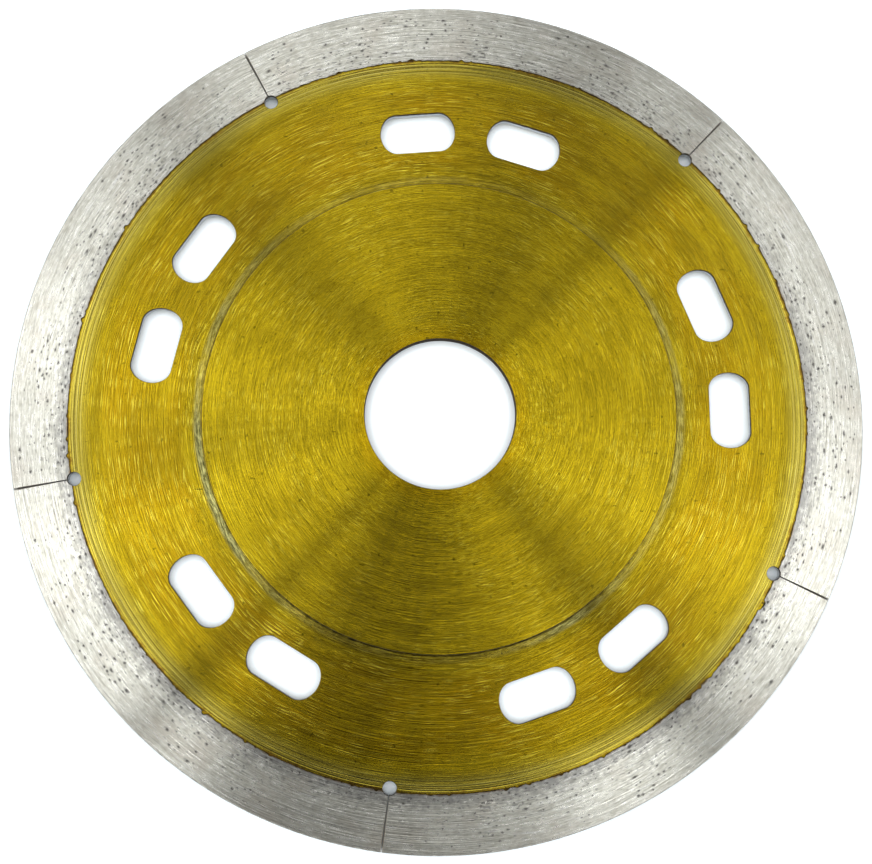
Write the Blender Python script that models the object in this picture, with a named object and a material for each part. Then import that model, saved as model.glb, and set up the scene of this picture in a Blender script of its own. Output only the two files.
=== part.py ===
"""Diamond cutting blade, 125 mm, for an angle grinder with a 22.23 mm arbor.

A gold-coated steel core plate carries a sintered diamond rim, which five radial
slits cut into five segments. Each slit starts in a keyhole at the rim's inner
edge. Ten oval cooling slots, in five pairs, go through the core, and a thin disc
is bonded to each face of the core to stiffen the centre.

Frame: the blade lies flat. +Z is the rotation axis, and the origin is the centre
of the bore, halfway through the core. Units are metres and degrees.
"""

import math

import bmesh
import bpy
from mathutils import Matrix, Vector

# Whole blade
OUTER_DIAMETER = 0.125
BORE_DIAMETER = 0.02223
FACETS = 120

# Diamond rim
SEGMENT_COUNT = 5
RIM_HEIGHT = 0.00835
RIM_THICKNESS = 0.0014
RIM_EDGE_CHAMFER = 0.00015

# Steel core
CORE_THICKNESS = 0.0012
TONGUE_LENGTH = 0.0010
TONGUE_THICKNESS = 0.0006

# Film of braze or adhesive between bonded pieces
BOND_GAP = 0.00005

# Discs that stiffen the centre
HUB_DISC_DIAMETER = 0.0696
HUB_DISC_THICKNESS = 0.0003
HUB_DISC_CHAMFER = 0.0001

# Keyholes and the slits that run out of them
KEYHOLE_ANGLE = 46.35
KEYHOLE_CENTRE_RADIUS = 0.05375
KEYHOLE_DIAMETER = 0.0020
KEYHOLE_ARC_STEPS = 20
SLIT_WIDTH = 0.00022

# Cooling slots, in pairs halfway between the keyholes
SLOT_PAIR_ANGLE = 83.72
SLOT_PAIR_SPREAD = 21.62
SLOT_CENTRE_RADIUS = 0.0428
SLOT_LENGTH = 0.0112
SLOT_WIDTH = 0.0060
SLOT_END_DEPTH = 0.0024
SLOT_END_STEPS = 14

# How far a cutter stands clear of what it cuts
CUTTER_OVERRUN = 0.001

OUTER_RADIUS = OUTER_DIAMETER / 2
BORE_RADIUS = BORE_DIAMETER / 2
RIM_INNER_RADIUS = OUTER_RADIUS - RIM_HEIGHT
SEGMENT_ANGLE = 360.0 / SEGMENT_COUNT
AXIS = Vector((0.0, 0.0, 1.0))


def clear_scene():
    """Remove every object, so that the script can be run again."""
    for old in list(bpy.data.objects):
        bpy.data.objects.remove(old)


def make_material(name, colour, metallic, roughness):
    """A Principled BSDF material with one colour."""
    material = bpy.data.materials.new(name)
    material.use_nodes = True
    shader = material.node_tree.nodes["Principled BSDF"]
    shader.inputs["Base Color"].default_value = (*colour, 1.0)
    shader.inputs["Metallic"].default_value = metallic
    shader.inputs["Roughness"].default_value = roughness
    return material


def add_object(name, bm, material=None):
    """Turn a bmesh into a smooth-shaded object with sharp edges kept sharp."""
    bmesh.ops.recalc_face_normals(bm, faces=bm.faces)
    mesh = bpy.data.meshes.new(name)
    bm.to_mesh(mesh)
    bm.free()
    mesh.shade_smooth()
    mesh.set_sharp_from_angle(angle=math.radians(30))
    if material is not None:
        mesh.materials.append(material)
    piece = bpy.data.objects.new(name, mesh)
    bpy.context.scene.collection.objects.link(piece)
    return piece


def profile_edges(bm, profile, start_angle):
    """Lay a closed (radius, height) profile in the half plane at start_angle."""
    turn = Matrix.Rotation(math.radians(start_angle), 3, "Z")
    verts = [bm.verts.new(turn @ Vector((r, 0.0, z))) for r, z in profile]
    edges = [bm.edges.new(pair) for pair in zip(verts, verts[1:] + verts[:1])]
    return verts, edges


def turned_ring(name, profile, material):
    """A whole ring, turned from a closed profile."""
    bm = bmesh.new()
    verts, edges = profile_edges(bm, profile, KEYHOLE_ANGLE)
    bmesh.ops.spin(
        bm,
        geom=verts + edges,
        cent=(0.0, 0.0, 0.0),
        axis=AXIS,
        angle=math.tau,
        steps=FACETS,
        use_merge=True,
    )
    return add_object(name, bm, material)


def turned_sector(name, profile, start_angle, sweep, material):
    """Part of a ring, turned from a closed profile and capped at both ends."""
    bm = bmesh.new()
    verts, _ = profile_edges(bm, profile, start_angle)
    cap = bm.faces.new(verts)
    bmesh.ops.spin(
        bm,
        geom=[cap],
        cent=(0.0, 0.0, 0.0),
        axis=AXIS,
        angle=math.radians(sweep),
        steps=round(FACETS * sweep / 360.0),
    )
    return add_object(name, bm, material)


def arc(centre, radii, first, last, steps):
    """Points on a round or oval arc from the first angle to the last, in degrees."""
    angles = [math.radians(first + (last - first) * i / steps) for i in range(steps + 1)]
    return [
        centre + Vector((radii[0] * math.cos(a), radii[1] * math.sin(a))) for a in angles
    ]


def slot_outline(distance):
    """A slot lying along Y at a distance out along X, with shallow oval ends."""
    radii = (SLOT_WIDTH / 2, SLOT_END_DEPTH)
    half_straight = SLOT_LENGTH / 2 - SLOT_END_DEPTH
    ends = []
    for side, first in ((1, 0.0), (-1, 180.0)):
        centre = Vector((distance, side * half_straight))
        ends += arc(centre, radii, first, first + 180.0, SLOT_END_STEPS)
    return ends


def keyhole_outline():
    """A round hole on +X with a slit from it out past the edge of the blade."""
    radius = KEYHOLE_DIAMETER / 2
    half_slit = SLIT_WIDTH / 2
    mouth = math.degrees(math.asin(half_slit / radius))
    centre = Vector((KEYHOLE_CENTRE_RADIUS, 0.0))
    hole = arc(centre, (radius, radius), mouth, 360.0 - mouth, KEYHOLE_ARC_STEPS)
    end = OUTER_RADIUS + CUTTER_OVERRUN
    return hole + [Vector((end, -half_slit)), Vector((end, half_slit))]


def turned_outline(outline, angle):
    """Turn an outline about the blade's axis."""
    turn = Matrix.Rotation(math.radians(angle), 2)
    return [turn @ p for p in outline]


def through_cutter(name, outlines):
    """One hidden cutter with a prism for each outline, longer than the blade is thick."""
    bm = bmesh.new()
    reach = RIM_THICKNESS / 2 + CUTTER_OVERRUN
    for outline in outlines:
        base = bm.faces.new([bm.verts.new((p.x, p.y, -reach)) for p in outline])
        grown = bmesh.ops.extrude_face_region(bm, geom=[base])["geom"]
        top = [v for v in grown if isinstance(v, bmesh.types.BMVert)]
        bmesh.ops.translate(bm, verts=top, vec=AXIS * 2 * reach)
    cutter = add_object(name, bm)
    cutter.hide_render = True
    cutter.display_type = "WIRE"
    return cutter


def cut(piece, cutter):
    """Cut one piece with a cutter."""
    modifier = piece.modifiers.new(cutter.name, "BOOLEAN")
    modifier.operation = "DIFFERENCE"
    modifier.solver = "EXACT"
    modifier.object = cutter


def keyhole_cutter():
    """All the keyholes and slits."""
    angles = [KEYHOLE_ANGLE + SEGMENT_ANGLE * i for i in range(SEGMENT_COUNT)]
    outlines = [turned_outline(keyhole_outline(), a) for a in angles]
    return through_cutter("keyhole_cutter", outlines)


def cooling_slot_cutter():
    """All the oval cooling slots, each lying along the direction of rotation."""
    outlines = []
    for i in range(SEGMENT_COUNT):
        for side in (-0.5, 0.5):
            angle = SLOT_PAIR_ANGLE + SEGMENT_ANGLE * i + SLOT_PAIR_SPREAD * side
            outlines.append(turned_outline(slot_outline(SLOT_CENTRE_RADIUS), angle))
    return through_cutter("cooling_slot_cutter", outlines)


def make_core_plate(material, cutters):
    """Flat ring from the bore to the rim, with a tongue that the rim is pressed round."""
    face = CORE_THICKNESS / 2
    flank = TONGUE_THICKNESS / 2
    shoulder = RIM_INNER_RADIUS - BOND_GAP
    tip = shoulder + TONGUE_LENGTH
    half = [(BORE_RADIUS, face), (shoulder, face), (shoulder, flank), (tip, flank)]
    core = turned_ring("core_plate", mirrored(half), material)
    for cutter in cutters:
        cut(core, cutter)


def mirrored(half):
    """A closed profile from its upper half, bore side first."""
    return half + [(r, -z) for r, z in reversed(half)]


def make_rim_segment(index, material, cutter):
    """One arc of the rim, from slit to slit, grooved inside to fit the core's tongue."""
    face = RIM_THICKNESS / 2
    flank = TONGUE_THICKNESS / 2 + BOND_GAP
    groove = RIM_INNER_RADIUS + TONGUE_LENGTH
    half = [
        (groove, flank),
        (RIM_INNER_RADIUS, flank),
        (RIM_INNER_RADIUS, face),
        (OUTER_RADIUS - RIM_EDGE_CHAMFER, face),
        (OUTER_RADIUS, face - RIM_EDGE_CHAMFER),
    ]
    start = KEYHOLE_ANGLE + SEGMENT_ANGLE * index
    name = f"rim_segment_{index + 1}"
    segment = turned_sector(name, mirrored(half), start, SEGMENT_ANGLE, material)
    cut(segment, cutter)


def make_hub_disc(name, side, material):
    """Thin disc with a chamfered edge; side is 1 for the front and -1 for the back."""
    inner = CORE_THICKNESS / 2 + BOND_GAP
    outer = inner + HUB_DISC_THICKNESS
    edge = HUB_DISC_DIAMETER / 2
    profile = [
        (BORE_RADIUS, inner),
        (edge, inner),
        (edge, outer - HUB_DISC_CHAMFER),
        (edge - HUB_DISC_CHAMFER, outer),
        (BORE_RADIUS, outer),
    ]
    turned_ring(name, [(r, side * z) for r, z in profile], material)


def main():
    clear_scene()
    coated_core = make_material("gold_coated_steel", (0.43, 0.29, 0.02), 1.0, 0.34)
    coated_hub = make_material("gold_coated_hub", (0.46, 0.31, 0.02), 1.0, 0.30)
    sintered_rim = make_material("sintered_rim", (0.66, 0.65, 0.61), 1.0, 0.42)
    keyholes = keyhole_cutter()
    slots = cooling_slot_cutter()
    make_core_plate(coated_core, [keyholes, slots])
    for index in range(SEGMENT_COUNT):
        make_rim_segment(index, sintered_rim, keyholes)
    make_hub_disc("front_hub_disc", 1, coated_hub)
    make_hub_disc("rear_hub_disc", -1, coated_hub)


main()
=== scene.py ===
"""Looks of a diamond cutting blade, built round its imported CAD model.

The blade lies flat on white paper. Each CAD node is replaced by a finely meshed
piece of the same size, cut from closed outlines, with rounded edges, turned
grooves near the rim and real pits in the sintered rim. Outlines are worked out
in millimetres and turned into metres when a mesh is made.
"""

import math
import random
from collections import namedtuple

import bpy
import numpy as np
from mathutils import Matrix, Vector, noise
from mathutils.geometry import delaunay_2d_cdt


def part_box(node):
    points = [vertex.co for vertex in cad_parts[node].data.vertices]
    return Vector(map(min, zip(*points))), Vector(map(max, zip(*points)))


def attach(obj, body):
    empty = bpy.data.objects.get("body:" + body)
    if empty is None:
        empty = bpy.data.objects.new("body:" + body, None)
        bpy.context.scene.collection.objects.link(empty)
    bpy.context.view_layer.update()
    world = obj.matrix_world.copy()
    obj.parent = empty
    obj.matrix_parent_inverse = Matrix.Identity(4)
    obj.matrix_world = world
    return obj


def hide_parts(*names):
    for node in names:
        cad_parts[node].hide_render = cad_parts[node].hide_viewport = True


MM = 0.001
BODY = "root"
SEGMENTS = 5
SEGMENT_ANGLE = 360.0 / SEGMENTS
AXIS = (0.0, 0.0)

# Keyholes, slits and cooling slots, as in the CAD model except for the narrower
# slits (millimetres and degrees)
KEYHOLE_ANGLE = 46.35
KEYHOLE_CENTRE_RADIUS = 53.75
KEYHOLE_RADIUS = 1.0
SLIT_WIDTH = 0.15
SLIT_END_WIDTH = 0.08
SLOT_PAIR_ANGLE = 83.72
SLOT_PAIR_SPREAD = 21.62
SLOT_CENTRE_RADIUS = 42.8
SLOT_LENGTH = 11.2
SLOT_WIDTH = 6.0
SLOT_END_DEPTH = 2.4

# Fineness of the outlines
CIRCLE_STEPS = 720
HOLE_STEPS = 24
ROUNDING_STEPS = 3

# Edges
CUT_EDGE_ROUNDING = 0.05
HUB_EDGE_ROUNDING = 0.08
RIM_EDGE_ROUNDING = 0.16
RIM_INNER_ROUNDING = 0.05
SLIT_EDGE_ROUNDING = 0.02

# Width of the flat strip between a rounded edge and the triangles of a face
GUARD = 0.06

# How far the core reaches into the rim. The joint strays further than this only at
# its deepest nicks, which leave a gap of up to 0.11 mm.
RIM_OVERLAP = 0.30

# How the joint between core and rim strays from its circle, and the angle beside
# each keyhole in which it strays less
SLOW_WANDER = 0.06
FAST_WANDER = 0.08
NICK_DEPTH = 0.9
NICK_THRESHOLD = 0.30
CALM_ANGLE = 0.6

# Pits in the rim, with their depth as a share of their size and the margin towards
# the slits in degrees
PIT_SIDES = 9
PIT_TRIES = 520
PIT_SPACING = 0.50
PIT_INNER_MARGIN = 0.55
PIT_BOTH_MARGINS = 1.5
PIT_END_MARGIN = 1.6
PIT_LARGE_SHARE = 0.35
PIT_LARGE_SIZES = (0.12, 0.19)
PIT_SMALL_SIZES = (0.06, 0.105)
PIT_STRETCHES = (1.0, 2.1)
PIT_TAILS = (0.0, 1.0, 2.2)
PIT_DEPTHS = (0.35, 0.55)
PIT_STAINS = (0.2, 0.7)

# How far the blade is kept off the paper
PAPER_CLEARANCE = 0.01

# Height of the core's face at each radius: the fillet round the hub disc, then
# the turned grooves beside the rim
CORE_RELIEF = (
    (34.85, 0.05), (35.05, 0.04), (35.40, 0.012), (35.60, 0.0), (35.70, 0.0),
    (52.30, 0.0), (52.38, 0.0), (52.44, -0.025), (52.50, 0.0), (52.56, 0.0),
    (52.95, 0.0), (53.02, 0.0), (53.10, -0.035), (53.18, 0.0), (53.26, 0.0),
    (53.50, 0.0), (53.56, 0.0), (53.66, -0.05), (53.78, 0.012), (53.86, 0.0),
    (53.96, 0.0),
)

# Material slots of a piece, the angle in degrees below which its faces meet
# smoothly, and the distance within which two planned points are one
FACE_SLOT = 0
WALL_SLOT = 1
SMOOTH_BELOW = 32.0
RIM_SMOOTH_BELOW = 9.0
MERGE_DISTANCE = 1e-7

# Most pairs of point and edge that are compared at once
LARGEST_BATCH = 4_000_000

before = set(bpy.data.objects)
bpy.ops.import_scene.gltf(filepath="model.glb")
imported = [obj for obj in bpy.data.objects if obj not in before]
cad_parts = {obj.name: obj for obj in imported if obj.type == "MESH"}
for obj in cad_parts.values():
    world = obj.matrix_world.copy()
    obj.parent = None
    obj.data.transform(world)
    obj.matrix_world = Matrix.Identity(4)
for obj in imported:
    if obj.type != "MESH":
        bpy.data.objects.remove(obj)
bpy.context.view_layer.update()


def radii_of(node, above=-math.inf):
    """Distances from the axis of a CAD node's vertices above a height, in millimetres."""
    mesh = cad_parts[node].data
    flat = np.zeros(len(mesh.vertices) * 3, np.float32)
    mesh.vertices.foreach_get("co", flat)
    vertices = flat.reshape(-1, 3).astype(float) / MM
    vertices = vertices[vertices[:, 2] > above]
    return np.hypot(vertices[:, 0], vertices[:, 1])


CORE_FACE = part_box("core_plate")[1].z / MM
HUB_INNER_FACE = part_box("front_hub_disc")[0].z / MM
HUB_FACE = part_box("front_hub_disc")[1].z / MM
RIM_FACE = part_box("rim_segment_1")[1].z / MM
BORE_RADIUS = float(radii_of("core_plate").min())
HUB_RADIUS = float(radii_of("front_hub_disc").max())
OUTER_RADIUS = float(radii_of("rim_segment_1").max())
RIM_INNER_RADIUS = float(radii_of("rim_segment_1", above=RIM_FACE - 0.01).min())


# ---------------------------------------------------------------- outlines

def polar(radius, degrees):
    """A point at a distance and an angle from the axis."""
    return radius * math.cos(math.radians(degrees)), radius * math.sin(math.radians(degrees))


def arc(centre, radii, first, last, steps):
    """Points on a round or oval arc, both ends included."""
    angles = np.radians(np.linspace(first, last, steps + 1))
    xs = centre[0] + radii[0] * np.cos(angles)
    ys = centre[1] + radii[1] * np.sin(angles)
    return np.stack([xs, ys], 1)


def circle(radius):
    """A closed circle round the axis, anticlockwise."""
    return arc(AXIS, (radius, radius), 0.0, 360.0, CIRCLE_STEPS)[:-1]


def turned(points, degrees):
    """Points turned about the axis."""
    c, s = math.cos(math.radians(degrees)), math.sin(math.radians(degrees))
    return points @ np.array([[c, s], [-s, c]])


def slot_outline():
    """A cooling slot lying along Y, out on the X axis, anticlockwise."""
    radii = (SLOT_WIDTH / 2, SLOT_END_DEPTH)
    half_straight = SLOT_LENGTH / 2 - SLOT_END_DEPTH
    upper = arc((SLOT_CENTRE_RADIUS, half_straight), radii, 0.0, 180.0, HOLE_STEPS)
    lower = arc((SLOT_CENTRE_RADIUS, -half_straight), radii, 180.0, 360.0, HOLE_STEPS)
    return np.concatenate([upper, lower])


def cooling_slots():
    """Outlines of all ten slots."""
    angles = [
        SLOT_PAIR_ANGLE + SEGMENT_ANGLE * i + SLOT_PAIR_SPREAD * side
        for i in range(SEGMENTS) for side in (-0.5, 0.5)
    ]
    return [turned(slot_outline(), angle) for angle in angles]


def keyhole_arc(first, last, steps):
    """Part of the wall of a keyhole out on the X axis, by angles at its own centre."""
    return arc((KEYHOLE_CENTRE_RADIUS, 0.0), (KEYHOLE_RADIUS, KEYHOLE_RADIUS), first, last, steps)


def crossing_angle(radius):
    """Angle in degrees, from a keyhole's own, at which its circle crosses a radius."""
    numerator = KEYHOLE_CENTRE_RADIUS ** 2 + radius ** 2 - KEYHOLE_RADIUS ** 2
    return math.degrees(math.acos(numerator / (2 * KEYHOLE_CENTRE_RADIUS * radius)))


def keyhole_side(radius):
    """Angle at the keyhole's own centre of the point where it crosses a radius."""
    x, y = polar(radius, crossing_angle(radius))
    return math.degrees(math.atan2(y, x - KEYHOLE_CENTRE_RADIUS))


def core_outline(radius):
    """The core's outer edge, with a bite out of it at each keyhole, anticlockwise."""
    side = keyhole_side(radius)
    gap = crossing_angle(radius)
    steps = CIRCLE_STEPS // SEGMENTS
    bite = keyhole_arc(360.0 - side, side, 2 * HOLE_STEPS)
    run = arc(AXIS, (radius, radius), gap, SEGMENT_ANGLE - gap, steps)[1:-1]
    fifth = np.concatenate([bite, run])
    return np.concatenate([turned(fifth, KEYHOLE_ANGLE + SEGMENT_ANGLE * i) for i in range(SEGMENTS)])


def wander(degrees):
    """How far the rim's inner edge strays from its circle at an angle, in millimetres."""
    place = Vector((*polar(14.0, degrees), 3.0))
    slow = noise.noise(place) * SLOW_WANDER
    fast = noise.noise(place * 5.3) * FAST_WANDER
    peak = noise.noise(place * 4.1 + Vector((0.0, 0.0, 9.0))) - NICK_THRESHOLD
    return slow + fast + max(0.0, peak) * NICK_DEPTH


def rim_inner_edge(start, gap, steps):
    """A rim segment's inner edge, clockwise from its last keyhole, with the ends left out."""
    last = SEGMENT_ANGLE - gap
    points = []
    for angle in np.linspace(last, gap, steps)[1:-1]:
        ease = min(1.0, (angle - gap) / CALM_ANGLE, (last - angle) / CALM_ANGLE)
        points.append(polar(RIM_INNER_RADIUS + ease * wander(start + angle), angle))
    return np.array(points)


def rim_outline(index):
    """One rim segment between two slits, with half a keyhole bitten from each inner corner.

    Returns the outline and how far its edge is rounded at each point.
    """
    start = KEYHOLE_ANGLE + SEGMENT_ANGLE * index
    steps = 2 * CIRCLE_STEPS // SEGMENTS
    mouth = math.degrees(math.asin(SLIT_WIDTH / 2 / KEYHOLE_RADIUS))
    outer_gap = math.degrees(math.asin(SLIT_END_WIDTH / 2 / OUTER_RADIUS))
    side = keyhole_side(RIM_INNER_RADIUS)
    first_bite = keyhole_arc(side, mouth, HOLE_STEPS // 3)
    last_bite = keyhole_arc(-mouth, -side, HOLE_STEPS // 3)
    radii = (OUTER_RADIUS, OUTER_RADIUS)
    parts = (
        (first_bite, SLIT_EDGE_ROUNDING),
        (arc(AXIS, radii, outer_gap, SEGMENT_ANGLE - outer_gap, steps), RIM_EDGE_ROUNDING),
        (turned(last_bite, SEGMENT_ANGLE), SLIT_EDGE_ROUNDING),
        (rim_inner_edge(start, crossing_angle(RIM_INNER_RADIUS), 2 * steps), RIM_INNER_ROUNDING),
    )
    outline = np.concatenate([points for points, _ in parts])
    rounding = np.concatenate([np.full(len(points), value) for points, value in parts])
    return turned(outline, start), rounding


def pit(rng, radius, degrees):
    """A small hollow torn out of the rim, drawn out along the direction of rotation.

    Returns its rings, from the stain around it to its bottom, each as points, height
    and how dirty it is.
    """
    sizes = PIT_LARGE_SIZES if rng.random() < PIT_LARGE_SHARE else PIT_SMALL_SIZES
    size = rng.uniform(*sizes)
    stretch = rng.uniform(*PIT_STRETCHES)
    tail = rng.choice(PIT_TAILS)
    way = rng.choice((-1.0, 1.0))
    depth = rng.uniform(*PIT_DEPTHS) * size
    stain = rng.uniform(*PIT_STAINS)
    angles = np.radians(np.arange(PIT_SIDES) * 360.0 / PIT_SIDES)
    rough = np.array([rng.uniform(0.6, 1.35) for _ in angles])
    along = np.cos(angles) * stretch
    drawn = along + tail * way * np.clip(np.cos(angles) * way, 0.0, None) ** 4
    lip = np.stack([np.sin(angles) * rough, along * rough], 1) * size
    halo = np.stack([np.sin(angles) * 1.7, drawn * 2.0], 1) * size
    rings = (
        (halo, 0.0, 0.0),
        (lip, 0.0, stain),
        (lip * 0.66, -0.7 * depth, 0.9),
        (lip[:1] * 0.0, -depth, 1.0),
    )
    place = np.array([radius, 0.0])
    return [(turned(ring + place, degrees), height, dirt) for ring, height, dirt in rings]


def rim_pits(index, seed):
    """Pits scattered over one face of a rim segment, in clusters and thicker near its inner edge."""
    rng = random.Random(seed)
    start = KEYHOLE_ANGLE + SEGMENT_ANGLE * index
    pits, places = [], []
    for _ in range(PIT_TRIES):
        depth_in = rng.random() ** 1.8
        room = OUTER_RADIUS - RIM_INNER_RADIUS - PIT_BOTH_MARGINS
        radius = RIM_INNER_RADIUS + PIT_INNER_MARGIN + depth_in * room
        degrees = start + rng.uniform(PIT_END_MARGIN, SEGMENT_ANGLE - PIT_END_MARGIN)
        x, y = polar(radius, degrees)
        crowd = noise.noise(Vector((x * 0.22, y * 0.22, seed * 1.7)))
        if rng.random() > 0.40 + 1.7 * crowd:
            continue
        if any(math.hypot(x - px, y - py) < PIT_SPACING for px, py in places):
            continue
        places.append((x, y))
        pits.append(pit(rng, radius, degrees))
    return pits


# ---------------------------------------------------------------- meshes

# A closed loop of points at the edge of a slab's upper and lower faces, with the
# number of the loop's first point on each
Border = namedtuple("Border", "points top bottom")


class Shell:
    """Points, faces and material slots of a mesh while it is being built."""

    def __init__(self):
        self.rows = []
        self.count = 0
        self.faces = []
        self.slots = []

    def add_points(self, rows):
        """Add points, each as x, y, z and dirt, and return the number of the first one."""
        first = self.count
        self.rows.append(np.reshape(rows, (-1, 4)))
        self.count += len(rows)
        return first

    def add_face(self, corners, slot):
        """Add a face by its points' numbers."""
        self.faces.append(corners)
        self.slots.append(slot)

    def finished(self, name, smooth_below):
        """The object, smooth where its faces meet at less than an angle in degrees."""
        rows = np.concatenate(self.rows)
        mesh = bpy.data.meshes.new(name)
        mesh.from_pydata((rows[:, :3] * MM).tolist(), [], self.faces)
        dirt = mesh.attributes.new("dirt", "FLOAT", "POINT")
        dirt.data.foreach_set("value", rows[:, 3].astype(np.float32))
        mesh.polygons.foreach_set("material_index", self.slots)
        mesh.shade_smooth()
        mesh.set_sharp_from_angle(angle=math.radians(smooth_below))
        mesh.validate()
        piece = bpy.data.objects.new(name, mesh)
        bpy.context.scene.collection.objects.link(piece)
        return piece


class Cap:
    """One face of a slab: rings that are kept as edges, then triangles between them.

    side is 1 for the upper face and -1 for the lower one, and relief gives extra
    height by radius.
    """

    def __init__(self, height, side, relief):
        self.height = height
        self.side = side
        self.relief = relief
        self.points = []
        self.edges = []
        self.numbers = []
        self.depths = []
        self.dirts = []

    def add_ring(self, ring, number=None, depth=0.0, dirt=0.0):
        """Plan a closed ring. Where its points are in the shell, number is its first point's."""
        first = len(self.points)
        size = len(ring)
        self.points += [Vector(p) for p in ring]
        self.numbers += [None if number is None else number + j for j in range(size)]
        self.depths += [depth] * size
        self.dirts += [dirt] * size
        if size > 1:
            self.edges += [(first + j, first + (j + 1) % size) for j in range(size)]

    def level(self, place, sources):
        """Height and dirt of a new point, from its radius and the planned points behind it."""
        depth = min([self.depths[i] for i in sources], default=0.0)
        dirt = max([self.dirts[i] for i in sources], default=0.0)
        lift = relief_at(math.hypot(*place), self.relief) + depth
        return self.height + self.side * lift, dirt

    def fill(self, shell, loops):
        """Add the face to a shell, leaving out what lies outside the loops."""
        found = delaunay_2d_cdt(self.points, self.edges, [], 0, MERGE_DISTANCE)
        places = np.array([tuple(v) for v in found[0]])
        triangles = np.array([f for f in found[2] if len(f) == 3])
        triangles = triangles[inside(places[triangles].mean(1), loops)]
        numbers, rows = {}, []
        for i in np.unique(triangles):
            sources = found[3][i]
            known = [self.numbers[j] for j in sources if self.numbers[j] is not None]
            if known:
                numbers[i] = known[0]
            else:
                numbers[i] = shell.count + len(rows)
                rows.append((*places[i], *self.level(places[i], sources)))
        shell.add_points(rows)
        for corners in triangles[:, ::self.side]:
            shell.add_face([numbers[i] for i in corners], FACE_SLOT)


def relief_at(radius, relief):
    """Height of the relief at a radius, in straight lines between its points."""
    if not relief or radius < relief[0][0] or radius > relief[-1][0]:
        return 0.0
    return float(np.interp(radius, [r for r, _ in relief], [z for _, z in relief]))


def inside(points, loops):
    """Which points lie in the material, by counting the loop edges to their right."""
    within = np.zeros(len(points), bool)
    for loop in loops:
        batches = max(1, len(points) * len(loop) // LARGEST_BATCH)
        for batch in np.array_split(np.arange(len(points)), batches):
            within[batch] ^= is_crossed_oddly(points[batch], loop)
    return within


def is_crossed_oddly(points, loop):
    """Which points have an odd number of the loop's edges to their right."""
    x, y = points[:, :1], points[:, 1:]
    a, b = loop, np.roll(loop, -1, 0)
    spans = (a[None, :, 1] > y) != (b[None, :, 1] > y)
    rise = b[:, 1] - a[:, 1]
    rise = np.where(rise == 0, 1e-12, rise)
    crossing = a[:, 0] + (y - a[:, 1]) * (b[:, 0] - a[:, 0]) / rise
    return (np.sum(spans & (x < crossing), 1) % 2).astype(bool)


def moved_inwards(loop, distance):
    """A closed loop moved to its left, which is into the material, by one distance or many."""
    ahead = np.roll(loop, -1, 0) - loop
    ahead /= np.linalg.norm(ahead, axis=1)[:, None]
    behind = np.roll(ahead, 1, 0)
    normal = np.stack([-(ahead + behind)[:, 1], (ahead + behind)[:, 0]], 1)
    length = np.linalg.norm(normal, axis=1)[:, None]
    normal /= length
    return loop + normal * np.reshape(distance, (-1, 1)) / np.clip(length / 2, 0.5, 1.0)


def edge_levels(face, rounding):
    """Insets and heights of the loops that run down a rounded edge, from the guard loop on."""
    turns = [math.radians(90.0 * i / ROUNDING_STEPS) for i in range(ROUNDING_STEPS + 1)]
    levels = [(rounding + GUARD, np.full_like(rounding, face))]
    levels += [(rounding * (1 - math.sin(t)), face - rounding * (1 - math.cos(t))) for t in turns]
    return levels


def add_wall(shell, loop, rounding, low, high):
    """A wall with rounded edges round one loop, between guard loops on the two faces."""
    middle = (low + high) / 2
    size = len(loop)
    levels = edge_levels(high - middle, np.broadcast_to(rounding, size))
    levels += [(inset, -z) for inset, z in reversed(levels)]
    rings = [moved_inwards(loop, inset) for inset, _ in levels]
    firsts = [
        shell.add_points(np.column_stack([ring, middle + z, np.zeros(size)]))
        for ring, (_, z) in zip(rings, levels)
    ]
    strips = list(zip(firsts, firsts[1:]))
    for strip, (above, below) in enumerate(strips):
        slot = FACE_SLOT if strip in (0, len(strips) - 1) else WALL_SLOT
        for j in range(size):
            k = (j + 1) % size
            shell.add_face((above + j, below + j, below + k, above + k), slot)
    return Border(rings[0], firsts[0], firsts[-1])


def slab(name, loops, low, high, roundings, relief=(), pits=((), ()), smooth_below=SMOOTH_BELOW):
    """A flat closed piece between two heights, cut out along its loops.

    The first loop is the outer one, anticlockwise, and the rest are holes, clockwise.
    relief gives extra height by radius, and pits are those of the upper and the lower
    face.
    """
    shell = Shell()
    borders = [add_wall(shell, *edge, low, high) for edge in zip(loops, roundings)]
    for side, height, marks in ((1, high, pits[0]), (-1, low, pits[1])):
        cap = Cap(height, side, relief)
        for border in borders:
            cap.add_ring(border.points, border.top if side > 0 else border.bottom)
        for radius, _ in relief:
            cap.add_ring(circle(radius))
        for rings in marks:
            for ring, depth, dirt in rings:
                cap.add_ring(ring, depth=depth, dirt=dirt)
        cap.fill(shell, [border.points for border in borders])
    return shell.finished(name, smooth_below)


# ---------------------------------------------------------------- node trees

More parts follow.
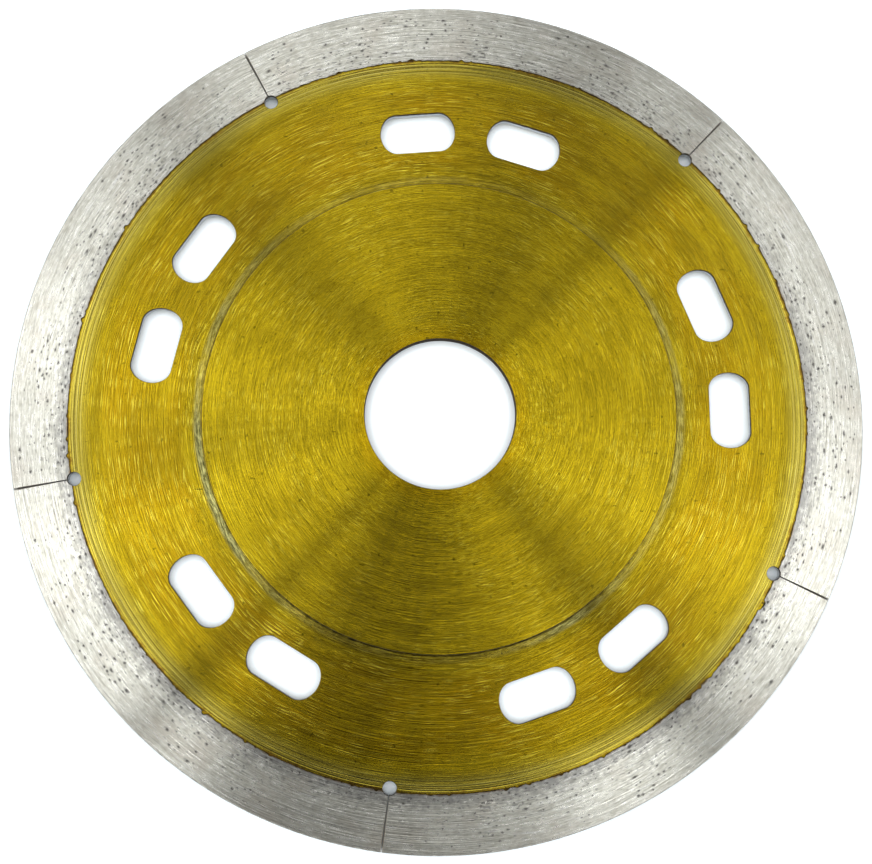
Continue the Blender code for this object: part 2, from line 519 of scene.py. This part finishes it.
class Net:
    """Short calls for building a node tree."""

    def __init__(self, tree):
        self.tree = tree

    def put(self, kind, inputs=None, **settings):
        """Add a node, set it up, and feed its inputs with values or sockets."""
        node = self.tree.nodes.new(kind)
        for key, value in settings.items():
            setattr(node, key, value)
        for key, value in (inputs or {}).items():
            self.feed(node.inputs[key], value)
        return node

    def feed(self, socket, value):
        """Link another socket to a socket, or set its value."""
        if isinstance(value, bpy.types.NodeSocket):
            self.tree.links.new(value, socket)
        else:
            socket.default_value = value

    def math(self, operation, *values):
        """One step of arithmetic."""
        node = self.put("ShaderNodeMath", operation=operation)
        for i, value in enumerate(values):
            self.feed(node.inputs[i], value)
        return node.outputs[0]

    def add(self, *values):
        """Sum of all the values."""
        total = values[0]
        for value in values[1:]:
            total = self.math("ADD", total, value)
        return total

    def times(self, a, b):
        """Product of two values."""
        return self.math("MULTIPLY", a, b)

    def vector_math(self, operation, *values):
        """The node for one step of vector arithmetic."""
        return self.put("ShaderNodeVectorMath", dict(enumerate(values)), operation=operation)

    def combine(self, x, y, z):
        """A vector from its parts."""
        return self.put("ShaderNodeCombineXYZ", {"X": x, "Y": y, "Z": z}).outputs[0]

    def separate(self, vector):
        """The three parts of a vector."""
        return self.put("ShaderNodeSeparateXYZ", {0: vector}).outputs

    def noise(self, vector, scale=1.0, detail=2.0, roughness=0.5):
        """Soft noise, about 0.5 on average."""
        inputs = {"Vector": vector, "Scale": scale, "Detail": detail, "Roughness": roughness}
        return self.put("ShaderNodeTexNoise", inputs).outputs["Fac"]

    def spread(self, value, low, high, to_low=0.0, to_high=1.0, smooth=False):
        """Map a range of a value onto another, without going past its ends."""
        ends = {"From Min": low, "From Max": high, "To Min": to_low, "To Max": to_high}
        style = "SMOOTHSTEP" if smooth else "LINEAR"
        inputs = {"Value": value, **ends}
        return self.put("ShaderNodeMapRange", inputs, interpolation_type=style, clamp=True).outputs[0]

    def mix(self, factor, a, b):
        """Mix two colours."""
        node = self.put("ShaderNodeMix", data_type="RGBA")
        self.feed(node.inputs["Factor"], factor)
        for key, value in (("A", a), ("B", b)):
            socket = next(s for s in node.inputs if s.name == key and s.type == "RGBA")
            self.feed(socket, (*value, 1.0) if isinstance(value, tuple) else value)
        return next(s for s in node.outputs if s.type == "RGBA")


class Surface(Net):
    """A material's node tree, which knows where on the blade it is, in millimetres.

    xyz is the place and z its height, radius its distance from the axis, ux and uy its
    unit direction from the axis, and tangent the direction of rotation there.
    """

    def __init__(self, name):
        self.material = bpy.data.materials.new(name)
        self.material.use_nodes = True
        super().__init__(self.material.node_tree)
        self.shader = self.tree.nodes["Principled BSDF"]
        coord = self.put("ShaderNodeTexCoord").outputs["Object"]
        scale = {0: coord, 3: 1.0 / MM}
        self.xyz = self.put("ShaderNodeVectorMath", scale, operation="SCALE").outputs[0]
        x, y, self.z = self.separate(self.xyz)
        flat = self.combine(x, y, 0.0)
        self.radius = self.vector_math("LENGTH", flat).outputs["Value"]
        along = self.vector_math("NORMALIZE", flat).outputs[0]
        self.ux, self.uy, _ = self.separate(along)
        self.tangent = self.combine(self.times(self.uy, -1.0), self.ux, 0.0)
        self.colour = None

    def band(self, base, start, full, fade, end):
        """1 from full to fade, falling to 0 at start and end, as distances past a base radius."""
        rising = self.spread(self.radius, base + start, base + full, smooth=True)
        falling = self.spread(self.radius, base + fade, base + end, 1.0, 0.0, smooth=True)
        return self.times(rising, falling)

    def round_about(self, around, depth):
        """A vector for noise that follows the circles, as fine along them as around says."""
        return self.combine(self.times(self.ux, around), self.times(self.uy, around), depth)

    def patches(self, around, across, detail=2.0):
        """Noise in patches that follow the circles."""
        return self.noise(self.round_about(around, self.times(self.radius, across)), 1.0, detail)

    def brushed(self, around, across, detail=2.0, roughness=0.5, seed=0.0, sway=0.0):
        """Noise drawn out along the direction of rotation.

        around and across say how fine it is each way, and sway lets the strokes
        stray from their circles by about that many millimetres.
        """
        depth = self.add(self.times(self.radius, across), self.times(self.z, 9.0), seed)
        if sway:
            slow = self.round_about(3.5, self.times(self.radius, 0.2))
            moved = self.vector_math("ADD", slow, (seed, 0.0, 0.0)).outputs[0]
            drift = self.math("SUBTRACT", self.noise(moved, 1.0, 1.0), 0.5)
            depth = self.add(depth, self.times(drift, sway * across * 4.0))
        return self.noise(self.round_about(around, depth), 1.0, detail, roughness)

    def bump(self, height, distance, strength=1.0):
        """Normals of a slightly uneven surface."""
        inputs = {"Height": height, "Distance": distance, "Strength": strength}
        return self.put("ShaderNodeBump", inputs).outputs[0]

    def prime(self, factor, dark, light):
        """Start the colour as a mix of two others."""
        self.colour = self.mix(factor, dark, light)

    def paint(self, colour, amount, share=None):
        """Lay a colour over the one so far, by an amount from 0 to 1 or by a share of it."""
        factor = amount if share is None else self.times(amount, share)
        self.colour = self.mix(factor, self.colour, colour)

    def set(self, **values):
        """Feed the Principled shader, underscores standing for spaces."""
        for key, value in values.items():
            socket = self.shader.inputs[key.replace("_", " ")]
            self.feed(socket, (*value, 1.0) if isinstance(value, tuple) else value)


# ---------------------------------------------------------------- gold coating

GOLD_DARK = (0.225, 0.153, 0.004)
GOLD_LIGHT = (0.660, 0.488, 0.012)
GOLD_DULL = (0.28, 0.205, 0.005)
GOLD_CLEAR = (0.60, 0.460, 0.014)
GOLD_AMBER = (0.50, 0.30, 0.003)
GOLD_NEAR_BORE = (0.54, 0.33, 0.001)
# Colour of the painted glints on the gold
GOLD_PAINTED_GLINT = (1.0, 0.87, 0.12)
GOLD_SPECK = (0.13, 0.10, 0.005)
# Residue round the hub disc, from dark to a pale painted sheen, and the painted shadow in its corner
RESIDUE_DARK = (0.115, 0.118, 0.036)
RESIDUE_PALE_SHEEN = (0.47, 0.455, 0.185)
CORNER_SHADOW = (0.050, 0.044, 0.007)
TURNED_PALE = (0.50, 0.46, 0.10)
# Painted shade in the turned grooves and a painted highlight beside them
GROOVE_SHADE = (0.13, 0.090, 0.008)
GROOVE_HIGHLIGHT = (0.74, 0.66, 0.22)
BURNT_GOLD = (0.26, 0.145, 0.014)
BURNT_EDGE = (0.075, 0.045, 0.012)

# Radius at which each turned line of painted shade, with its painted highlight, starts, and how strongly it
# shows
TURNED_LINES = ((53.56, 0.9), (53.22, 0.6), (52.98, 0.8), (52.36, 0.5))


def by_disc(net, on_disc, past_disc):
    """One value on the hub disc and another one past its edge."""
    return net.spread(net.radius, HUB_RADIUS - 0.1, HUB_RADIUS + 0.5, on_disc, past_disc)


def paint_strokes(net, streak, calm):
    """Gold in light and dark strokes and cloudy patches, with a few painted glints along bright hairs, and
    dark specks.
    """
    broad = net.brushed(3.2, 0.45, detail=1.5, roughness=0.6, seed=80.0)
    hairs = net.brushed(16.0, 15.0, detail=0.0, seed=120.0, sway=0.4)
    specks = net.noise(net.xyz, 1.3, 0.0)
    blotch = net.noise(net.xyz, 0.10, 3.0, 0.5)
    uneven = by_disc(net, 0.65, 1.15)
    net.prime(net.spread(streak, 0.38, 0.62), GOLD_DARK, GOLD_LIGHT)
    net.paint(GOLD_DULL, net.spread(broad, 0.48, 0.66, 0.0, 0.45), uneven)
    net.paint(GOLD_CLEAR, net.spread(broad, 0.32, 0.50, 0.40, 0.0), uneven)
    amber = net.times(net.band(0.0, 36.2, 39.0, 47.5, 51.5), net.spread(blotch, 0.40, 0.60, 0.35, 1.0))
    net.paint(GOLD_AMBER, amber, 0.50)
    net.paint(GOLD_NEAR_BORE, net.spread(net.radius, 11.2, 14.5, 0.45, 0.0, smooth=True))
    # Painted glints: bright yellow hairs that stand in for light caught by scratches
    painted_glints = net.times(net.spread(hairs, 0.63, 0.75), net.spread(blotch, 0.42, 0.58, 0.20, 0.9))
    net.paint(GOLD_PAINTED_GLINT, painted_glints, calm)
    net.paint(GOLD_SPECK, net.spread(specks, 0.80, 0.83, 0.0, 0.5))


def paint_residue_sheen_and_shadow(net):
    """Olive residue round the hub disc with a painted pale sheen, shown at the sides and fading towards the
    top and bottom as the light does, and a painted shadow line in its corner, darkest towards the bottom.
    """
    smear = net.brushed(22.0, 5.0, detail=3.0, roughness=0.7, seed=300.0, sway=0.6)
    around = net.noise(net.round_about(1.6, 3.0), 1.0, 2.0)
    # The residue's paleness is painted sheen: it fades towards the top and bottom, where less light falls
    residue_sheen_share = net.times(net.spread(around, 0.38, 0.58, 0.30, 0.90), net.spread(net.uy, 0.3, 0.9, 1.0, 0.2))
    residue_sheen_share = net.times(residue_sheen_share, net.spread(net.uy, -1.0, -0.84, 0.35, 1.0))
    residue_and_sheen = net.mix(net.spread(smear, 0.40, 0.60), RESIDUE_DARK, RESIDUE_PALE_SHEEN)
    net.paint(residue_and_sheen, net.band(HUB_RADIUS, 0.0, 0.25, 0.85, 1.50), residue_sheen_share)

    # Painted shadow in the corner beside the hub disc, darker low down and towards the bottom
    height = net.math("ABSOLUTE", net.z)
    low = net.spread(height, CORE_FACE + 0.12, HUB_FACE, 1.0, 0.25)
    below = net.spread(net.uy, -0.92, -0.60, 1.0, 0.30)
    depth = net.times(net.times(low, below), net.spread(smear, 0.38, 0.62, 1.0, 0.6))
    net.paint(CORNER_SHADOW, net.band(HUB_RADIUS, -0.25, -0.06, 0.12, 0.40), depth)


def paint_turned_band(net):
    """A pale band beside the rim, with painted shade in its turned grooves and a painted highlight just
    inside each.
    """
    net.paint(TURNED_PALE, net.band(0.0, 50.6, 52.8, 53.80, 54.1), 0.38)
    patchy = net.patches(4.0, 1.5)
    for start, strength in TURNED_LINES:
        faded = net.spread(patchy, 0.38, 0.54, 0.1, strength)
        # Painted shade in the groove, and a painted highlight just inside it
        net.paint(GROOVE_SHADE, net.band(start, 0.0, 0.07, 0.11, 0.18), faded)
        net.paint(GROOVE_HIGHLIGHT, net.band(start, -0.20, -0.12, -0.08, 0.0), net.times(faded, 0.5))


def paint_burnt_edge(net):
    """Ragged burnt patches along the joint with the rim."""
    ragged = net.patches(70.0, 0.8, detail=3.0)
    joint = net.add(net.radius, net.times(ragged, 1.1))
    burnt = net.spread(net.patches(14.0, 1.0), 0.42, 0.58, 0.05, 0.9)
    net.paint(BURNT_GOLD, net.spread(joint, 54.20, 54.50), burnt)
    net.paint(BURNT_EDGE, net.spread(net.radius, 54.00, 54.08), net.spread(ragged, 0.46, 0.56, 0.05, 0.9))


def gold_material():
    """Steel ground in circles under a thin clear gold coating, with shorter marks on the discs."""
    net = Surface("gold_coating")
    shorter = by_disc(net, 2.0, 1.0)
    fine = net.brushed(net.times(shorter, 32.0), 9.0, roughness=0.8, sway=0.15)
    crossing = net.brushed(net.times(shorter, 16.0), 7.5, roughness=0.8, seed=40.0, sway=0.5)
    grain = net.noise(net.xyz, 6.5, 1.0)
    mixed = net.add(net.times(fine, 0.40), net.times(crossing, 0.34), net.times(grain, 0.26), -0.5)
    calm = net.spread(net.radius, 34.0, 37.0, 0.50, 0.88)
    calm = net.times(calm, net.spread(net.radius, 49.0, 52.0, 1.0, 0.68))
    streak = net.math("MULTIPLY_ADD", mixed, calm, by_disc(net, 0.528, 0.500))
    paint_strokes(net, streak, calm)
    paint_residue_sheen_and_shadow(net)
    paint_turned_band(net)
    paint_burnt_edge(net)
    grooves = net.brushed(net.times(shorter, 1.7), 8.0, roughness=0.6, seed=160.0)
    net.set(
        Base_Color=net.colour, Metallic=1.0, Roughness=net.spread(streak, 0.38, 0.62, 0.22, 0.19),
        Anisotropic=1.0, Anisotropic_Rotation=0.25, Tangent=net.tangent,
        Normal=net.bump(grooves, 0.055 * MM), Coat_Weight=0.12, Coat_Roughness=0.22, Coat_IOR=1.5,
    )
    return net.material


# ---------------------------------------------------------------- sintered rim

RIM_DARK = (0.54, 0.528, 0.445)
RIM_LIGHT = (1.0, 1.0, 0.915)
RIM_STAIN = (0.64, 0.58, 0.49)
RIM_BRIGHT_SCRATCH = (1.0, 1.0, 0.97)
RIM_DARK_SCRATCH = (0.30, 0.29, 0.26)
RIM_DASH = (0.17, 0.165, 0.16)
# A dark smudge along the joint, faded towards the top as painted light, and painted shade
RIM_SMUDGE_AND_SHADE = (0.27, 0.265, 0.26)
RIM_SHADE = (0.20, 0.195, 0.18)
PIT_DIRT = (0.060, 0.056, 0.054)
BURNT_RIM = (0.22, 0.140, 0.050)


def paint_scratches(net, streak, stain):
    """Ground metal in light and dark strokes, with scratches, stains and dashes."""
    scratch = net.brushed(13.0, 8.0, detail=0.0, seed=55.0, sway=0.6)
    dashes = net.brushed(80.0, 5.0, detail=0.0, seed=77.0, sway=0.2)
    net.prime(net.spread(streak, 0.38, 0.62), RIM_DARK, RIM_LIGHT)
    net.paint(RIM_STAIN, net.spread(stain, 0.50, 0.68, 0.0, 0.40))
    net.paint(RIM_BRIGHT_SCRATCH, net.spread(scratch, 0.68, 0.77, 0.0, 0.6))
    net.paint(RIM_DARK_SCRATCH, net.spread(scratch, 0.24, 0.32, 0.45, 0.0))
    net.paint(RIM_DASH, net.spread(dashes, 0.66, 0.76), net.spread(net.radius, 54.6, 60.5, 0.75, 0.22))


def paint_smudges_and_shade(net, mottle, stain):
    """A dark smudge along the joint, painted lighter towards the top where more light falls, and a little
    painted shade outwards and on one side.
    """
    edge = net.add(net.radius, net.times(mottle, 4.6), net.times(stain, 2.4))
    # The smudge fades towards the top: painted light, as the top is lit more
    net.paint(RIM_SMUDGE_AND_SHADE, net.spread(edge, 57.5, 59.9, 0.75, 0.0), net.spread(net.uy, 0.1, 0.75, 1.0, 0.15))
    # Painted shade towards the outer edge and on one side
    net.paint(RIM_SHADE, net.spread(net.radius, 59.0, 62.4, 0.0, 0.10))
    net.paint(RIM_SHADE, net.spread(net.add(net.ux, net.times(net.uy, 0.5)), 0.85, 1.10, 0.0, 0.12))


def paint_pits_and_joint(net):
    """Dirt in the pits, and burnt patches along the joint with the core."""
    net.paint(PIT_DIRT, net.put("ShaderNodeAttribute", attribute_name="dirt").outputs["Fac"], 0.90)
    joint = net.add(net.radius, net.times(net.patches(70.0, 0.8, detail=3.0), -0.9))
    burnt = net.spread(net.patches(14.0, 1.0), 0.40, 0.56, 0.1, 0.85)
    net.paint(BURNT_RIM, net.spread(joint, 53.62, 53.90, 1.0, 0.0), burnt)


def rim_material():
    """Ground sintered metal, with circular scratches, stains and dark pits."""
    net = Surface("sintered_rim")
    fine = net.brushed(36.0, 5.0, roughness=0.75, seed=7.0, sway=0.2)
    long = net.brushed(10.0, 3.2, roughness=0.65, seed=31.0, sway=0.3)
    mottle = net.brushed(60.0, 1.4, detail=3.0, roughness=0.6, seed=91.0)
    stain = net.noise(net.xyz, 0.14, 3.0, 0.6)
    streak = net.add(net.times(fine, 0.42), net.times(long, 0.33), net.times(mottle, 0.25))
    paint_scratches(net, streak, stain)
    paint_smudges_and_shade(net, mottle, stain)
    paint_pits_and_joint(net)
    grooves = net.brushed(1.8, 6.0, roughness=0.6, seed=200.0)
    net.set(
        Base_Color=net.colour, Metallic=0.92, Roughness=net.spread(streak, 0.38, 0.62, 0.31, 0.26),
        Anisotropic=1.0, Anisotropic_Rotation=0.25, Tangent=net.tangent,
        Normal=net.bump(grooves, 0.08 * MM),
    )
    return net.material


# ---------------------------------------------------------------- cut steel and paper

TORN_DARK = (0.020, 0.014, 0.009)
TORN_LIGHT = (0.075, 0.058, 0.042)
SLIT_DARK = (0.11, 0.095, 0.075)
SLIT_LIGHT = (0.24, 0.22, 0.19)
SHEARED = (0.58, 0.61, 0.64)
GROUND_DARK = (0.22, 0.21, 0.19)
GROUND_LIGHT = (0.55, 0.54, 0.50)
STEEL_GLANCE = (0.26, 0.21, 0.16)
PAPER_WHITE = (0.83, 0.885, 0.905)
PAPER_GLOW = (0.90, 0.96, 1.0)


def wall_material():
    """Bare edges of the holes, of the slits and of the whole blade.

    The bore's is dark and torn. Those further out are so only towards the front, with
    browner slits, and smooth and pale behind. The blade's outer edge is ground grey.
    """
    net = Surface("cut_steel")
    lines = net.noise(net.round_about(60.0, net.z), 1.0, 3.0, 0.6)
    uneven = net.spread(lines, 0.35, 0.65)
    net.prime(uneven, TORN_DARK, TORN_LIGHT)
    net.paint(net.mix(uneven, SLIT_DARK, SLIT_LIGHT), net.spread(net.radius, 54.6, 54.9))
    height = net.add(net.z, net.times(lines, 0.35))
    behind = net.spread(height, 0.24, 0.44, 1.0, 0.0)
    net.paint(SHEARED, behind, net.spread(net.radius, 12.0, 20.0))
    net.paint(net.mix(uneven, GROUND_DARK, GROUND_LIGHT), net.spread(net.radius, 61.6, 62.2))
    net.set(
        Base_Color=net.colour, Metallic=0.8, Roughness=net.spread(lines, 0.35, 0.65, 0.42, 0.58),
        Specular_Tint=STEEL_GLANCE, Normal=net.bump(lines, 0.02 * MM),
    )
    return net.material


def paper_material():
    """Plain white paper, a little self-lit so that it stays white, but not in deep gaps."""
    net = Surface("paper")
    grain = net.noise(net.xyz, 2.0, 3.0, 0.6)
    sky = net.put("ShaderNodeAmbientOcclusion", {"Distance": 1.3 * MM}, samples=8).outputs["AO"]
    net.set(
        Base_Color=PAPER_WHITE, Roughness=0.9, Normal=net.bump(grain, 0.01 * MM, 0.3),
        Emission_Color=PAPER_GLOW, Emission_Strength=net.times(net.math("POWER", sky, 2.5), 0.5),
    )
    return net.material


# ---------------------------------------------------------------- pieces

def dress(piece, nodes, materials):
    """Give a piece its materials and stand it in for its CAD nodes."""
    for material in materials:
        piece.data.materials.append(material)
    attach(piece, BODY)
    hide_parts(*nodes)


def make_core(gold, wall):
    """The coated steel plate with its slots, keyholes and turned grooves."""
    loops = [core_outline(RIM_INNER_RADIUS + RIM_OVERLAP), circle(BORE_RADIUS)[::-1]]
    loops += [outline[::-1] for outline in cooling_slots()]
    roundings = [CUT_EDGE_ROUNDING] * len(loops)
    core = slab("coated_core", loops, -CORE_FACE, CORE_FACE, roundings, CORE_RELIEF)
    dress(core, ["core_plate"], [gold, wall])


def make_hub(side, gold, wall):
    """One of the two discs that stiffen the centre; side is 1 for the front, -1 for the back."""
    low, high = sorted((side * HUB_INNER_FACE, side * HUB_FACE))
    name = "front_hub_disc" if side > 0 else "rear_hub_disc"
    loops = [circle(HUB_RADIUS), circle(BORE_RADIUS)[::-1]]
    disc = slab(f"coated_{name}", loops, low, high, [HUB_EDGE_ROUNDING, CUT_EDGE_ROUNDING])
    dress(disc, [name], [gold, wall])


def make_rim(index, rim, wall):
    """One segment of the sintered rim."""
    loop, rounding = rim_outline(index)
    pits = [rim_pits(index, seed) for seed in (index + 1, index + 11)]
    name = f"sintered_segment_{index + 1}"
    faces = (-RIM_FACE, RIM_FACE)
    segment = slab(name, [loop], *faces, [rounding], pits=pits, smooth_below=RIM_SMOOTH_BELOW)
    dress(segment, [f"rim_segment_{index + 1}"], [rim, wall])


def make_paper(material):
    """The sheet that the blade lies on, in metres, far larger than the view."""
    half = 3.0
    z = -(HUB_FACE + PAPER_CLEARANCE) * MM
    corners = [(-half, -half, z), (half, -half, z), (half, half, z), (-half, half, z)]
    mesh = bpy.data.meshes.new("paper")
    mesh.from_pydata(corners, [], [(0, 1, 2, 3)])
    mesh.materials.append(material)
    paper = bpy.data.objects.new("paper", mesh)
    bpy.context.scene.collection.objects.link(paper)


# ---------------------------------------------------------------- camera and light

# Metres, and millimetres for the lens
CAMERA_PLACE = Vector((-0.004721, -0.020432, 0.157514))
CAMERA_AIM = Vector((-0.000629, -0.002708, 0.00065))
CAMERA_LENS = 44.59
CAMERA_CLIP_START = 0.005

# Panels of light round the room, each with its first and last azimuth in degrees and
# its brightness. The gaps between them are dark, the widest from 232 to 294 degrees,
# on the viewer's side.
PANELS = (
    (323.0, 338.0, 1.40),
    (338.0, 353.0, 2.95),
    (353.0, 370.0, 2.15),
    (10.0, 24.0, 1.55),
    (24.0, 50.0, 1.20),
    (50.0, 57.0, 0.42),
    (57.0, 62.0, 1.05),
    (62.0, 85.0, 0.47),
    (85.0, 98.0, 1.65),
    (98.0, 119.0, 1.15),
    (119.0, 130.0, 0.66),
    (130.0, 152.0, 1.25),
    (152.0, 166.0, 2.55),
    (166.0, 184.0, 1.90),
    (184.0, 195.0, 3.55),
    (195.0, 218.0, 2.30),
    (224.5, 232.0, 2.40),
    (294.0, 313.0, 2.25),
)
PANEL_SOFTNESS = 0.8
ROOM_LIGHT = 0.04
BACKDROP_LIGHT = 0.95

# Elevations in degrees between which whoever looks down shades the blade from above,
# and how much light is left there
OVERHEAD_SHADE = (59.0, 80.0)
OVERHEAD_LIGHT = 0.2


def make_camera():
    """Looks down at the blade, with the paper's Y axis upright in the picture."""
    camera = bpy.data.objects.new("camera", bpy.data.cameras.new("camera"))
    camera.data.lens = CAMERA_LENS
    camera.data.clip_start = CAMERA_CLIP_START
    camera.location = CAMERA_PLACE
    back = (CAMERA_PLACE - CAMERA_AIM).normalized()
    right = Vector((0.0, 1.0, 0.0)).cross(back).normalized()
    camera.rotation_mode = "QUATERNION"
    camera.rotation_quaternion = Matrix((right, back.cross(right), back)).transposed().to_quaternion()
    bpy.context.scene.collection.objects.link(camera)
    bpy.context.scene.camera = camera


def panel_light(net, across, first, last, brightness):
    """Light from one panel, by the level direction that is looked in."""
    centre = math.radians((first + last) / 2)
    half = (last - first) / 2
    towards = (math.cos(centre), math.sin(centre), 0.0)
    facing = net.vector_math("DOT_PRODUCT", across, towards).outputs["Value"]
    outer = math.cos(math.radians(half + PANEL_SOFTNESS))
    inner = math.cos(math.radians(max(half - PANEL_SOFTNESS, 0.5)))
    return net.spread(facing, outer, inner, 0.0, brightness, smooth=True)


def make_light():
    """A dim room with panels of light round it, and a pale backdrop behind the blade."""
    world = bpy.data.worlds.new("room")
    world.use_nodes = True
    net = Net(world.node_tree)
    direction = net.put("ShaderNodeTexCoord").outputs["Generated"]
    level = net.vector_math("MULTIPLY", direction, (1.0, 1.0, 0.0)).outputs[0]
    across = net.vector_math("NORMALIZE", level).outputs[0]
    total = net.add(ROOM_LIGHT, *[panel_light(net, across, *panel) for panel in PANELS])
    overhead = [math.sin(math.radians(elevation)) for elevation in OVERHEAD_SHADE]
    height = net.separate(direction)[2]
    total = net.times(total, net.spread(height, *overhead, 1.0, OVERHEAD_LIGHT, smooth=True))
    seen = net.put("ShaderNodeLightPath").outputs["Is Camera Ray"]
    strength = net.put("ShaderNodeMix", {0: seen, 2: total, 3: BACKDROP_LIGHT}).outputs[0]
    background = world.node_tree.nodes["Background"]
    net.feed(background.inputs["Color"], (1.0, 1.0, 1.0, 1.0))
    net.feed(background.inputs["Strength"], strength)
    bpy.context.scene.world = world
    bpy.context.scene.view_settings.view_transform = "Standard"


def main():
    """Build the blade, the paper under it, the camera and the light."""
    gold = gold_material()
    rim = rim_material()
    wall = wall_material()
    make_core(gold, wall)
    for side in (1, -1):
        make_hub(side, gold, wall)
    for index in range(SEGMENTS):
        make_rim(index, rim, wall)
    make_paper(paper_material())
    make_camera()
    make_light()


main()
